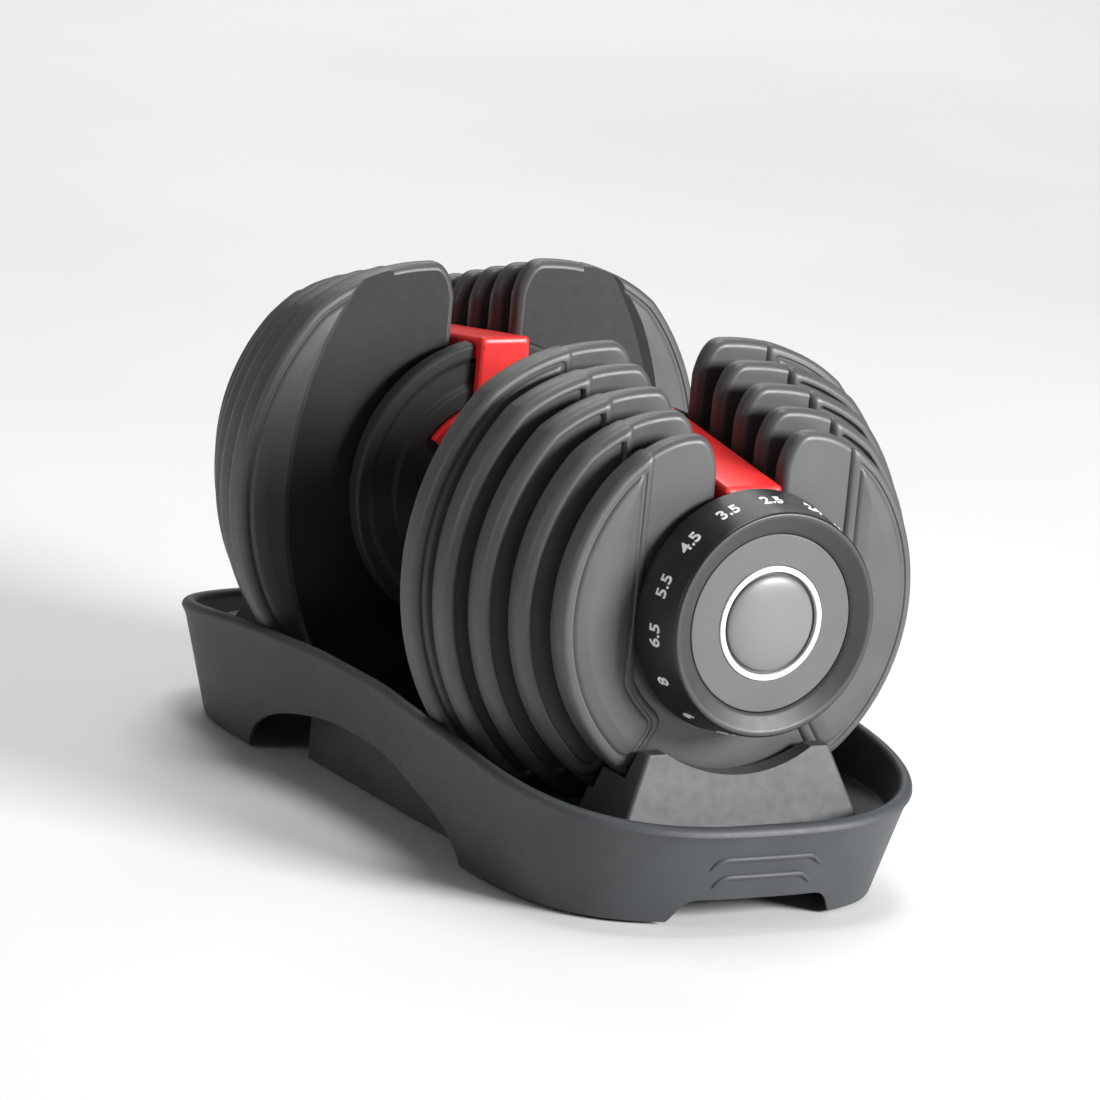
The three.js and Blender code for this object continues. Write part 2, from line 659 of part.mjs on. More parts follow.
function atBothEnds(build) {
  return union([build(-1), build(1)]);
}

function trayBody() {
  const outer = loft(TRAY_BASE_INSET, TRAY_BOTTOM, 0, rimHeight);
  const hollowTop = (y) => rimHeight(y) - TRAY_WALL - 1;
  const below = loft(TRAY_BASE_INSET + TRAY_WALL, -5, TRAY_WALL, hollowTop);
  const bosses = feetPlaces().map(([x, y]) => post(FOOT.boss, 0, DECK_HEIGHT - 1, x, y));
  const opened = wells(0, POCKET_FACETS).add(middleWell(0));
  const walled = wells(TRAY_WALL, UNDERSIDE_FACETS).add(middleWell(TRAY_WALL));
  const deck = deckCut(RIM_WIDTH, DECK_HEIGHT);
  const deckWalled = deckCut(RIM_WIDTH - TRAY_WALL, DECK_HEIGHT - TRAY_WALL);
  const cavity = below.subtract(deckWalled)
    .add(atBothEnds((sign) => saddle(sign, TRAY_WALL)))
    .subtract(walled)
    .subtract(union(bosses));
  const pads = feetPlaces().map(([x, y]) => post(FOOT.radius + GAP, -1, FOOT.height + GAP, x, y));
  return outer.subtract(opened)
    .subtract(deck)
    .add(atBothEnds((sign) => saddle(sign, 0)))
    .subtract(cavity)
    .subtract(wells(0, POCKET_FACETS))
    .subtract(sideArches())
    .subtract(atBothEnds(endArch))
    .add(atBothEnds(lockPost))
    .subtract(union(pads));
}

place(dumbbell, 'storage_tray', trayBody(), MATERIALS.tray);

feetPlaces().forEach(([x, y]) => {
  const name = `tray_foot_${y < 0 ? 'front' : 'rear'}_${x < 0 ? 'left' : 'right'}`;
  place(dumbbell, name, post(FOOT.radius, 0, FOOT.height, x, y), MATERIALS.foot);
});

export default dumbbell;
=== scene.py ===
# The finished surfaces of an adjustable dumbbell in its storage tray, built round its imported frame.
# X across, Y along the dumbbell's axis, Z up. Shapes are drawn in millimetres and made in metres.

import math

import bmesh
import bpy
from mathutils import Matrix, Vector


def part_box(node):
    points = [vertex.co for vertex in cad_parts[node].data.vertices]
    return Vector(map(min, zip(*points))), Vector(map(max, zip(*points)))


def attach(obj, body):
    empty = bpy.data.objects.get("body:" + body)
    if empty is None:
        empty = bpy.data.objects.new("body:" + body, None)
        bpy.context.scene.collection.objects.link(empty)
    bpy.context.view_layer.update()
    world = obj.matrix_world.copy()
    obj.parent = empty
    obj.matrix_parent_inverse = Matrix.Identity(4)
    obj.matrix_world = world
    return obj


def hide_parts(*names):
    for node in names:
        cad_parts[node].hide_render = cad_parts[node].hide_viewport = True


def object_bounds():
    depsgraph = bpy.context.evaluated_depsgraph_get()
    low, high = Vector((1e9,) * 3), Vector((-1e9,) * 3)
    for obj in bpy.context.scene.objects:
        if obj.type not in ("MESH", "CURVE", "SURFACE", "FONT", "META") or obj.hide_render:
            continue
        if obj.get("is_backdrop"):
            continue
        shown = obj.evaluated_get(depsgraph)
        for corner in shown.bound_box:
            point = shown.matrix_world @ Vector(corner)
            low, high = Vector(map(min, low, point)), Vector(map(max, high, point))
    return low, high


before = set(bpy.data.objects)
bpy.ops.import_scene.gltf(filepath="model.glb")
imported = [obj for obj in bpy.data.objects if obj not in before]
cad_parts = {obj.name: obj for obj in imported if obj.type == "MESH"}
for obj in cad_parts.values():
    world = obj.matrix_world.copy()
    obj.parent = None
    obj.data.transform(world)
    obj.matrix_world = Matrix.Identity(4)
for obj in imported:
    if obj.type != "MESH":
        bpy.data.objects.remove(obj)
cad_low, cad_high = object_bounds()

MM = 0.001
ENDS = {"front": math.pi, "rear": 0.0}     # pieces are drawn for the rear end, then turned
GAP = 0.3                   # between neighbouring pieces, mm
PAST = 5                    # a cutting tool reaches this far past what it cuts, mm


def box_mm(node):
    low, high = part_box(node)
    return low / MM, high / MM


# ---------------------------------------------------------------- places from the frame

DIAL_LOW, DIAL_HIGH = box_mm("dial_ring_rear")
AXIS_Z = (DIAL_LOW.z + DIAL_HIGH.z) / 2
DIAL_BACK_Y, DIAL_FRONT_Y = DIAL_LOW.y, DIAL_HIGH.y
FLANGE_LOW, FLANGE_HIGH = box_mm("inner_flange_rear")
BRIDGE_LOW, BRIDGE_HIGH = box_mm("selector_bridge_rear")
GRIP_END_Y = box_mm("grip_sleeve")[1].y
TRAY_LOW, TRAY_HIGH = box_mm("storage_tray")
PLATE_COUNT = 5
PLATE_BOXES = [box_mm(f"weight_plate_{number}_rear") for number in range(1, PLATE_COUNT + 1)]
PLATE_Y = [(low.y + high.y) / 2 for low, high in PLATE_BOXES]
PLATE_RADII = [(high.x - low.x) / 2 for low, high in PLATE_BOXES]
PLATE_TOPS = [high.z - AXIS_Z for low, high in PLATE_BOXES]
PLATE_PITCH = PLATE_Y[1] - PLATE_Y[0]

# ---------------------------------------------------------------- sizes of the looks, mm

PAD_CHORD = 48              # a side pad starts this far from the middle
PAD_INNER_RADIUS = 56       # its lower edge runs round the dial
PAD_END = math.radians(57)  # and it ends this far under the horizontal
PAD_CORNERS = (4, 3, 8, 12)  # rounding at the top, at the dial, and at the two lower corners
PAD_CORNER_FADE = 15        # the corners grow sharper towards this depth inside the pad
SLOT_HALF = 16
SLOT_LIP = (3, 16)          # the slot's mouth opens by this much, over this height
HORN_X = 28
HORN_PULL = 0.72            # bends the curve from the shoulder up to the horn
SHOULDER = math.radians(42)

# Half of a section through an edge: how far in from the outline, and how far from the mid plane.
# The pads at both ends of the stack are full; those between them are raised only along their rims.
PAD_EDGE = [(0, 0), (0, 3.6), (0.3, 4.7), (1.0, 5.6), (2.1, 6.2), (3.6, 6.3), (4.2, 5.8), (5.2, 5.8),
            (5.9, 6.5), (7.2, 6.9), (11.5, 7.5), (12.5, 7.5)]
PAD_RIM_EDGE = [(0, 0), (0, 3.0), (0.4, 4.6), (1.2, 6.0), (2.4, 7.0), (3.6, 7.4), (4.6, 7.2), (5.2, 6.4),
                (5.5, 5.0), (12.5, 5.0)]
HORN_EDGE = [(0, 0), (0, 1.4), (0.4, 2.7), (1.2, 3.8), (2.3, 4.5), (3.6, 4.75)]
INNER_RECESS_RADIUS = 167           # the innermost plate's recessed inner face lies between two arcs of this radius
INNER_RECESS_OFFSET = 72            # whose centres are this far to each side
INNER_RECESS_DEPTH = 2.8            # down to the plate's own face
INNER_RECESS_SLOPE = 3.5

DIAL_TAPER = 4.4            # the dial's radius is this much smaller at its front
DIAL_WALL = 6
FACE_RADIUS = 38.5
FACE_THICK = 4
FACE_HUB_RADIUS = 15
SCREW_POCKET_RADIUS = 8.2
DIAL_RECESS = 4
FACE_Y = DIAL_FRONT_Y - DIAL_RECESS
TRIM_RADII = (22.3, 24.8)
CAP_RADIUS = 20.6
CAP_DOME = 2.9
TRIM_GROOVE = 1.6
NUMBERS = ["2.5", "3.5", "4.5", "5.5", "6.5", "8", "9", "10",
           "11.5", "13.5", "16", "18", "20.5", "22.5", "24"]
NUMBER_SIZE = 8.6
NUMBER_HEIGHT = 0.35        # the numbers stand this proud of the dial

FLANGE_BORE_RADIUS = 11.3
FLANGE_GROOVE = {"radii": (46, 48, 58, 60), "depth": 1.2}
LEG_THICK = 4.6
BRIDGE_DEPTH = 10.5
BRIDGE_ROUND = 3.2          # rounding of the beam's ends
BRIDGE_TOP_OUTER = 53
BRIDGE_TOP_INNER = 68
BRIDGE_HALVES = (12.3, 14)  # half widths at the grip and at the dial
COLLAR_RADII = (22, 39)
COLLAR_HALF = math.radians(55)
GRIP_BORE_RADIUS = 12.8
GRIP_END_RADIUS = 15.6
GRIP_RIBS = 30

DISC_RADIUS = 40
DISC_BORE_RADIUS = 9.3
DISC_HUB_RADIUS = 13
DISC_THICK = 3
RIDGE_RADII = (33, 38)
RIDGE_SPANS = (300, 252, 204, 156, 108)
RIDGE_REACH = 2.3

TRAY_HALF_WIDTH = (TRAY_HIGH.x - TRAY_LOW.x) / 2
TRAY_END_Y = TRAY_HIGH.y
TRAY_WAIST_HALF = TRAY_HALF_WIDTH - 4
TRAY_END_START = 105
TRAY_CORNER_POWER = 2.8
BASE_INSET = 13
RIM_MIDDLE = 64
RIM_END = 45
RIM_LEVEL_HALF = 40         # the rim is level this far from the middle
RIM_FALL_POWER = 1.7
RIM_WIDTH = 6
RIM_ROUND = 3.2             # the rim's ridge stands this high over its shoulders
WALL_TOP_INSET = 0.9        # the outer wall ends this far in, under the ridge
TRAY_WALL = 3
DECK_HEIGHT = 38
DECK_DRAFT = 4.4
WELL_FLOOR = 4.5
WELL_HALF = 68
POCKET_GAP = 0.7
ARCH = {"half": 97, "height": 34}
END_ARCH = {"half": 34, "slope": 10, "height": 12, "from_y": 170}
END_LINES = {"halves_heights": ((27, 31), (24, 22.5)), "drop": 5, "radius": 0.9}
SADDLE = {"y": 140, "top_depth": 30, "base_depth": 38, "top": 69, "half_top": 45, "half_base": 59,
          "scoop": 69, "corner": 2.2}
LOCK_POST = {"half_x": 6, "half_y": 3, "drop": 0.9}
FOOT = {"x": 62, "y": 156, "radius": 10, "height": 4.5, "boss": 13}

# ---------------------------------------------------------------- outlines


def lerp(start, end, share):
    return start + (end - start) * share


def smooth(value, low, high):
    share = min(1, max(0, (value - low) / (high - low)))
    return share * share * (3 - 2 * share)


def arc(radius, start, end, steps, centre=(0, 0)):
    angles = [lerp(start, end, step / steps) for step in range(steps + 1)]
    return [Vector((centre[0] + radius * math.cos(angle), centre[1] + radius * math.sin(angle)))
            for angle in angles]


def bezier(start, pull, end, steps):
    start, pull, end = Vector(start), Vector(pull), Vector(end)
    shares = [step / steps for step in range(steps + 1)]
    return [start.lerp(pull, s).lerp(pull.lerp(end, s), s) for s in shares]


def rounded(corners, steps=5):
    """A closed outline from corners (u, v, radius), each corner rounded by its radius."""
    outline = []
    for at, (u, v, radius) in enumerate(corners):
        here = Vector((u, v))
        back = Vector(corners[at - 1][:2]) - here
        ahead = Vector(corners[(at + 1) % len(corners)][:2]) - here
        if radius == 0:
            outline.append(here)
            continue
        start = here + back.normalized() * min(radius, back.length * 0.49)
        end = here + ahead.normalized() * min(radius, ahead.length * 0.49)
        outline += bezier(start, here, end, steps)
    return outline


def inset(points, distance, closed=True):
    """The line of points moved to its left by the distance."""
    moved = []
    last = len(points) - 1
    for at, here in enumerate(points):
        before = points[at - 1] if closed or at > 0 else 2 * here - points[1]
        after = points[(at + 1) % len(points)] if closed or at < last else 2 * here - points[at - 1]
        came = (here - before).normalized()
        goes = (after - here).normalized()
        along = (came + goes).normalized()
        left = Vector((-along.y, along.x))
        moved.append(here + left * (distance / max(0.4, along.dot(goes))))
    return moved


def resampled(points, steps, trim_start=0.0, trim_end=0.0):
    """The line of points spaced evenly, without the trimmed lengths at its ends."""
    lengths = [0.0]
    for before, after in zip(points, points[1:]):
        lengths.append(lengths[-1] + (after - before).length)
    made = []
    segment = 0
    for step in range(steps + 1):
        wanted = lerp(trim_start, lengths[-1] - trim_end, step / steps)
        while segment < len(points) - 2 and lengths[segment + 1] < wanted:
            segment += 1
        span = lengths[segment + 1] - lengths[segment]
        share = (wanted - lengths[segment]) / span if span else 0
        made.append(points[segment].lerp(points[segment + 1], share))
    return made


# ---------------------------------------------------------------- meshes


def new_piece(name, points, faces):
    mesh = bpy.data.meshes.new(name)
    mesh.from_pydata([Vector(point) * MM for point in points], [], faces)
    work = bmesh.new()
    work.from_mesh(mesh)
    bmesh.ops.remove_doubles(work, verts=work.verts, dist=1e-7)
    bmesh.ops.recalc_face_normals(work, faces=work.faces)
    work.to_mesh(mesh)
    work.free()
    piece = bpy.data.objects.new(name, mesh)
    bpy.context.scene.collection.objects.link(piece)
    return piece


def from_rings(name, rings, closed=False):
    """A skin over rings of equal point count, closed by its two end rings or back onto itself."""
    count = len(rings[0])
    points = [point for ring in rings for point in ring]
    faces = []
    for at in range(len(rings) if closed else len(rings) - 1):
        first = at * count
        second = ((at + 1) % len(rings)) * count
        for side in range(count):
            after = (side + 1) % count
            faces.append((first + side, first + after, second + after, second + side))
    if not closed:
        faces.append(tuple(range(count)))
        faces.append(tuple(range(len(points) - 1, len(points) - 1 - count, -1)))
    return new_piece(name, points, faces)


def turned(name, corners, segments=128, x=0.0, z=AXIS_Z, steps=5):
    """Corners (radius, y, rounding) turned about a line along Y."""
    outline = rounded(corners, steps)
    rings = []
    for step in range(segments):
        angle = 2 * math.pi * step / segments
        rings.append([(x + r * math.cos(angle), y, z + r * math.sin(angle)) for r, y in outline])
    return from_rings(name, rings, closed=True)


def slab(name, outline_at, edge, y):
    """A plate across Y. outline_at(depth) is its outline, in X and over the axis, moved in."""
    section = [(depth, -off) for depth, off in reversed(edge)] + edge[1:]
    rings = []
    for depth, off in section:
        rings.append([(p.x, y + off, AXIS_Z + p.y) for p in outline_at(depth)])
    return from_rings(name, rings)


def block(name, x, y, z):
    """A plain cutting block between (low, high) in each direction."""
    lower, upper = [[(x[0], y[0], h), (x[1], y[0], h), (x[1], y[1], h), (x[0], y[1], h)] for h in z]
    return from_rings(name, [lower, upper])


def combine(piece, tool, operation):
    """Joins the tool to the piece, or cuts it out, and removes the tool."""
    modifier = piece.modifiers.new("combine", "BOOLEAN")
    modifier.operation = operation
    modifier.solver = "MANIFOLD"
    modifier.object = tool
    bpy.context.view_layer.update()
    graph = bpy.context.evaluated_depsgraph_get()
    made = bpy.data.meshes.new_from_object(piece.evaluated_get(graph))
    piece.modifiers.clear()
    piece.data = made
    bpy.data.objects.remove(tool)
    return piece


def join(piece, tool):
    return combine(piece, tool, "UNION")


def cut(piece, tool):
    return combine(piece, tool, "DIFFERENCE")


def shade(piece, sharp=35):
    """Smooth shading that keeps real edges, with flat faces kept flat."""
    piece.data.shade_smooth()
    piece.data.set_sharp_from_angle(angle=math.radians(sharp))
    normals = piece.modifiers.new("even_normals", "WEIGHTED_NORMAL")
    normals.keep_sharp = True
    normals.weight = 100
    return piece


# ---------------------------------------------------------------- materials


class Surface:
    """A material's node tree, built a step at a time."""

    def __init__(self, name):
        self.material = bpy.data.materials.new(name)
        self.material.use_nodes = True
        self.nodes = self.material.node_tree.nodes
        self.links = self.material.node_tree.links
        self.shader = self.nodes["Principled BSDF"]
        self.place = self.nodes.new("ShaderNodeTexCoord").outputs["Object"]
        self.normal = None

    def noise(self, size_mm, detail=3.0, stretch=None):
        texture = self.nodes.new("ShaderNodeTexNoise")
        texture.inputs["Scale"].default_value = 1 / (size_mm * MM)
        texture.inputs["Detail"].default_value = detail
        place = self.place
        if stretch:
            mapping = self.nodes.new("ShaderNodeMapping")
            mapping.inputs["Scale"].default_value = stretch
            self.links.new(place, mapping.inputs["Vector"])
            place = mapping.outputs["Vector"]
        self.links.new(place, texture.inputs["Vector"])
        return texture.outputs["Fac"]

    def remap(self, value, low, high, from_low=0.3, from_high=0.7):
        node = self.nodes.new("ShaderNodeMapRange")
        node.inputs["From Min"].default_value = from_low
        node.inputs["From Max"].default_value = from_high
        node.inputs["To Min"].default_value = low
        node.inputs["To Max"].default_value = high
        self.links.new(value, node.inputs["Value"])
        return node.outputs["Result"]

    def mix(self, share, first, second):
        node = self.nodes.new("ShaderNodeMix")
        node.data_type = "RGBA"
        self.links.new(share, node.inputs["Factor"])
        for socket, colour in ((node.inputs["A"], first), (node.inputs["B"], second)):
            if isinstance(colour, tuple):
                socket.default_value = (*colour, 1)
            else:
                self.links.new(colour, socket)
        return node.outputs["Result"]

    def bump(self, height, depth_mm, strength=1.0):
        node = self.nodes.new("ShaderNodeBump")
        node.inputs["Distance"].default_value = depth_mm * MM
        node.inputs["Strength"].default_value = strength
        self.links.new(height, node.inputs["Height"])
        if self.normal:
            self.links.new(self.normal, node.inputs["Normal"])
        self.normal = node.outputs["Normal"]

    def done(self, colour, roughness, metallic=0.0):
        self.links.new(colour, self.shader.inputs["Base Color"])
        self.links.new(roughness, self.shader.inputs["Roughness"])
        self.shader.inputs["Metallic"].default_value = metallic
        if self.normal:
            self.links.new(self.normal, self.shader.inputs["Normal"])
        return self.material


def tint(colour, factor):
    return tuple(min(1.0, part * factor) for part in colour)


def moulded(name, colour, roughness, grain_mm, grain_depth, cloud=0.10):
    """Moulded plastic or rubber: a fine grain, uneven gloss and slow colour changes."""
    surface = Surface(name)
    clouds = surface.remap(surface.noise(28, 2.0), 0.0, 1.0)
    shade_of = surface.mix(clouds, tint(colour, 1 - cloud), tint(colour, 1 + cloud))
    fine = surface.noise(grain_mm, 2.0)
    surface.bump(fine, grain_depth)
    gloss = surface.remap(surface.noise(5, 3.0), roughness - 0.03, roughness + 0.04)
    return surface.done(shade_of, gloss)


def metal(name, colour, roughness, brushed=(1, 0.02, 1)):
    """Turned metal: fine lines round the part and slight staining."""
    surface = Surface(name)
    lines = surface.noise(0.35, 2.0, brushed)
    stains = surface.remap(surface.noise(12, 4.0), 0.0, 1.0)
    shade_of = surface.mix(stains, tint(colour, 0.82), colour)
    surface.bump(lines, 0.02)
    return surface.done(shade_of, surface.remap(lines, roughness - 0.08, roughness + 0.1), metallic=1.0)


MATERIALS = {
    "plate": moulded("plate_coat", (0.072, 0.073, 0.075), 0.42, 0.9, 0.030),
    "tray": moulded("tray_plastic", (0.046, 0.051, 0.054), 0.54, 0.7, 0.035),
    "dial": moulded("dial_plastic", (0.010, 0.010, 0.011), 0.36, 0.5, 0.02),
    "dial_lip": moulded("dial_lip_plastic", (0.030, 0.031, 0.032), 0.42, 0.5, 0.02),
    "number": moulded("number_paint", (0.80, 0.80, 0.78), 0.45, 0.4, 0.01, cloud=0.05),
    "dial_face": moulded("dial_face_plastic", (0.095, 0.096, 0.098), 0.50, 0.45, 0.02, cloud=0.06),
    "trim": moulded("trim_lacquer", (0.82, 0.83, 0.84), 0.22, 3.0, 0.01, cloud=0.04),
    "cap": moulded("cap_plastic", (0.155, 0.157, 0.160), 0.36, 0.6, 0.02, cloud=0.06),
    "bridge": moulded("bridge_plastic", (0.72, 0.020, 0.018), 0.34, 0.8, 0.03, cloud=0.08),
    "flange": moulded("flange_paint", (0.012, 0.013, 0.013), 0.62, 0.8, 0.05),
    "grip_rubber": moulded("grip_rubber", (0.012, 0.012, 0.012), 0.62, 0.6, 0.08),
    "selector_disc": moulded("disc_plastic", (0.022, 0.022, 0.024), 0.42, 0.8, 0.03),
    "foot_rubber": moulded("foot_rubber", (0.012, 0.012, 0.012), 0.75, 0.8, 0.08),
    "steel": metal("ground_steel", (0.60, 0.61, 0.62), 0.30),
    "bronze": metal("bearing_bronze", (0.56, 0.38, 0.17), 0.36),
}


def dress(piece, material):
    if not any(piece.data.materials):
        piece.data.materials.clear()
        piece.data.materials.append(MATERIALS[material])
    return piece


def place_at_ends(build, name, node, body, material, sharp=35):
    """Makes one piece for each end, turned to it, in place of that end's CAD node."""
    for end, turn in ENDS.items():
        piece = build(f"{name}_{end}")
        piece.data.transform(Matrix.Rotation(turn, 4, "Z"))
        dress(piece, material)
        shade(piece, sharp)
        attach(piece, body.format(end=end))
        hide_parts(f"{node}_{end}")


# ---------------------------------------------------------------- weight plates


def half_edge(radius, top):
    """The plate's right edge, from under the axis up to the horn's flat top."""
    shoulder = Vector((radius * math.cos(SHOULDER), radius * math.sin(SHOULDER)))
    rise = bezier(shoulder, (shoulder.x * HORN_PULL, top), (HORN_X, top), 16)
    return arc(radius, -math.pi / 2, SHOULDER, 90) + rise[1:]


def plate_outline(radius, top):
    """A round disc with an open slot between two horns, anticlockwise."""
    right = half_edge(radius, top)
    opening, drop = SLOT_LIP
    right += bezier((HORN_X, top), (SLOT_HALF + opening, top), (SLOT_HALF, top - drop), 10)[1:]
    right += [Vector((SLOT_HALF, height)) for height in (top * 0.6, top * 0.4, top * 0.2)]
    right += arc(SLOT_HALF, 0, -math.pi / 2, 14)
    left = [Vector((-point.x, point.y)) for point in reversed(right[1:-1])]
    return right + left


def crescent(radius, top, side, depth):
    """A side pad's outline, moved in by the depth on every side."""
    chord = PAD_CHORD + depth
    inner = PAD_INNER_RADIUS + depth
    up = Vector((math.sin(PAD_END), math.cos(PAD_END)))
    out = Vector((math.cos(PAD_END), -math.sin(PAD_END)))
    outer = radius - depth
    foot_out = up * depth + out * math.sqrt(outer ** 2 - depth ** 2)
    foot_in = up * depth + out * math.sqrt(inner ** 2 - depth ** 2)
    rim = [p for p in inset(half_edge(radius, top), depth, closed=False) if p.dot(up) > depth + 0.5]
    inside = [p for p in rim if p.x > chord or p.y < 0]
    first_out = rim[len(inside)]
    share = (inside[-1].x - chord) / (inside[-1].x - first_out.x)
    head = inside[-1].lerp(first_out, share)
    dial_top = Vector((chord, -math.sqrt(inner ** 2 - chord ** 2)))
    dial_side = arc(inner, math.atan2(dial_top.y, dial_top.x), math.atan2(foot_in.y, foot_in.x), 12)
    sides = [([foot_out] + inside + [head], 70), ([head, dial_top], 30), (dial_side, 14),
             ([foot_in, foot_out], 16)]
    radii = [max(0.8, corner * (1 - depth / PAD_CORNER_FADE)) for corner in PAD_CORNERS]
    outline = []
    for at, (line, steps) in enumerate(sides):
        kept = resampled(line, steps, radii[at - 1], radii[at])
        outline += kept
        next_line = sides[(at + 1) % len(sides)][0]
        ahead = resampled(next_line, 40, radii[at], 0)[0]
        outline += bezier(kept[-1], line[-1], ahead, 6)[1:-1]
    return [Vector((point.x * side, point.y)) for point in outline]


def painted_shade_recess_lens(depth):
    """The region between the raised crescents, which meet the recessed face in two long arcs."""
    reach = math.acos(INNER_RECESS_OFFSET / INNER_RECESS_RADIUS) * 0.98
    right = arc(INNER_RECESS_RADIUS - depth, -reach, reach, 64, (-INNER_RECESS_OFFSET, 0))
    return right + [-point for point in right]


def painted_shade_recess_inner_face(piece):
    """Recesses the innermost plate's inner side between the raised crescents, and gives the recess floor
    the black flange colour as painted shade for the front stack's shadow.
    """
    low = PLATE_BOXES[0][0].y
    tool = slab("bare", painted_shade_recess_lens, [(0, 0), (0, 1), (INNER_RECESS_SLOPE, INNER_RECESS_DEPTH + 1)], low - 1)
    for mesh in (piece.data, tool.data):
        mesh.materials.clear()
        mesh.materials.append(MATERIALS["plate"])
        mesh.materials.append(MATERIALS["flange"])
    # The recess floor takes the black flange colour: painted shade standing in for the shadow of the
    # front stack.
    for polygon in tool.data.polygons:
        polygon.material_index = 1 if polygon.center.y / MM > low + INNER_RECESS_DEPTH * 0.9 else 0
    cut(piece, tool)


def plate(name, index):
    radius, top, y = PLATE_RADII[index], PLATE_TOPS[index], PLATE_Y[index]
    whole = plate_outline(radius, top)
    piece = slab(name, lambda depth: inset(whole, depth), HORN_EDGE, y)
    edge = PAD_EDGE if index in (0, PLATE_COUNT - 1) else PAD_RIM_EDGE
    for side in (-1, 1):
        join(piece, slab("pad", lambda depth: crescent(radius, top, side, depth), edge, y))
    # The innermost plate's recess floor is coloured black as painted shade.
    if index == 0:
        painted_shade_recess_inner_face(piece)
    return piece


for index in range(PLATE_COUNT):
    number = index + 1
    place_at_ends(lambda name: plate(name, index), f"plate_{number}", f"weight_plate_{number}",
                  f"plate_{number}_{{end}}", "plate", sharp=30)

# ---------------------------------------------------------------- dials


def dial_radius(y):
    share = (y - DIAL_BACK_Y) / (DIAL_FRONT_Y - DIAL_BACK_Y)
    return lerp(DIAL_HIGH.x, DIAL_HIGH.x - DIAL_TAPER, share)


def dial_ring(name):
    back, front = DIAL_BACK_Y, DIAL_FRONT_Y
    return turned(name, [
        (dial_radius(back), back, 0.8),
        (dial_radius(front), front, 1.6),
        (dial_radius(front) - 2.4, front, 0.8),
        (FACE_RADIUS + 1.4, FACE_Y + 0.7, 0.6),
        (FACE_RADIUS + GAP, FACE_Y - 0.2, 0.3),
        (FACE_RADIUS + GAP, FACE_Y - FACE_THICK, 0),
        (dial_radius(back) - DIAL_WALL - 1, FACE_Y - FACE_THICK - 2, 1),
        (dial_radius(back) - DIAL_WALL, back, 0.5),
    ], segments=180)


def number_meshes(name):
    """The numbers round the dial, each bent to the cone with its top towards the grip."""
    points, faces = [], []
    middle = lerp(DIAL_BACK_Y, DIAL_FRONT_Y, 0.5)
    lean = math.atan2(DIAL_TAPER, DIAL_FRONT_Y - DIAL_BACK_Y)
    for at, text in enumerate(NUMBERS):
        curve = bpy.data.curves.new("number", "FONT")
        curve.body = text
        curve.size = NUMBER_SIZE
        curve.align_x = "CENTER"
        curve.align_y = "CENTER"
        curve.offset = 0.12
        curve.extrude = NUMBER_HEIGHT
        curve.resolution_u = 4
        holder = bpy.data.objects.new("number", curve)
        flat = bpy.data.meshes.new_from_object(holder)
        first = len(points)
        middle_angle = math.pi / 2 - at * 2 * math.pi / len(NUMBERS)
        for vertex in flat.vertices:
            across, up, out = vertex.co
            y = middle - up * math.cos(lean)
            radius = dial_radius(y) + out
            angle = middle_angle + across / dial_radius(middle)
            points.append((radius * math.cos(angle), y, AXIS_Z + radius * math.sin(angle)))
        faces += [tuple(first + corner for corner in polygon.vertices) for polygon in flat.polygons]
        bpy.data.objects.remove(holder)
    return new_piece(name, points, faces)


def dial_face(name):
    back = DIAL_BACK_Y + 0.5
    return turned(name, [
        (SCREW_POCKET_RADIUS, back, 0),
        (FACE_HUB_RADIUS, back, 0.5),
        (FACE_HUB_RADIUS, FACE_Y - FACE_THICK, 1),
        (FACE_RADIUS, FACE_Y - FACE_THICK, 0),
        (FACE_RADIUS, FACE_Y, 0.6),
        (TRIM_RADII[1] + GAP, FACE_Y, 0.3),
        (TRIM_RADII[1] + GAP, FACE_Y - TRIM_GROOVE, 0),
        (SCREW_POCKET_RADIUS, FACE_Y - TRIM_GROOVE, 0),
    ], segments=180)


def dial_trim(name):
    low, high = FACE_Y - TRIM_GROOVE + GAP, FACE_Y + 0.7
    inner, outer = TRIM_RADII
    return turned(name, [(inner, low, 0), (outer, low, 0), (outer, high, 0.7), (inner, high, 0.7)],
                  segments=180)


def dial_cap(name):
    low = FACE_Y - TRIM_GROOVE + GAP
    dome = [(CAP_RADIUS * math.sin(a), FACE_Y - 0.4 + CAP_DOME * math.cos(a), 0)
            for a in [math.pi / 2 * step / 12 for step in range(12, -1, -1)]]
    return turned(name, [(0, low, 0), (CAP_RADIUS, low, 0)] + dome, segments=144)


place_at_ends(dial_ring, "dial_cone", "dial_ring", "dial_{end}", "dial")
place_at_ends(dial_face, "dial_plate", "dial_face", "dial_{end}", "dial_face")
place_at_ends(dial_trim, "dial_white_ring", "dial_trim_ring", "dial_{end}", "trim")
place_at_ends(dial_cap, "dial_centre_cap", "dial_cap", "dial_{end}", "cap", sharp=50)

for end, turn in ENDS.items():
    ring = bpy.data.objects[f"dial_cone_{end}"]
    ring.data.materials.append(MATERIALS["dial_lip"])
    lip_start = dial_radius(DIAL_FRONT_Y) - 0.6
    for polygon in ring.data.polygons:
        centre = polygon.center / MM
        reach = math.hypot(centre.x, centre.z - AXIS_Z)
        if abs(centre.y) > FACE_Y - 0.5 and reach < lip_start:
            polygon.material_index = 1
    numbers = number_meshes(f"dial_numbers_{end}")
    numbers.data.transform(Matrix.Rotation(turn, 4, "Z"))
    dress(numbers, "number")
    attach(numbers, f"dial_{end}")

# ---------------------------------------------------------------- selector discs


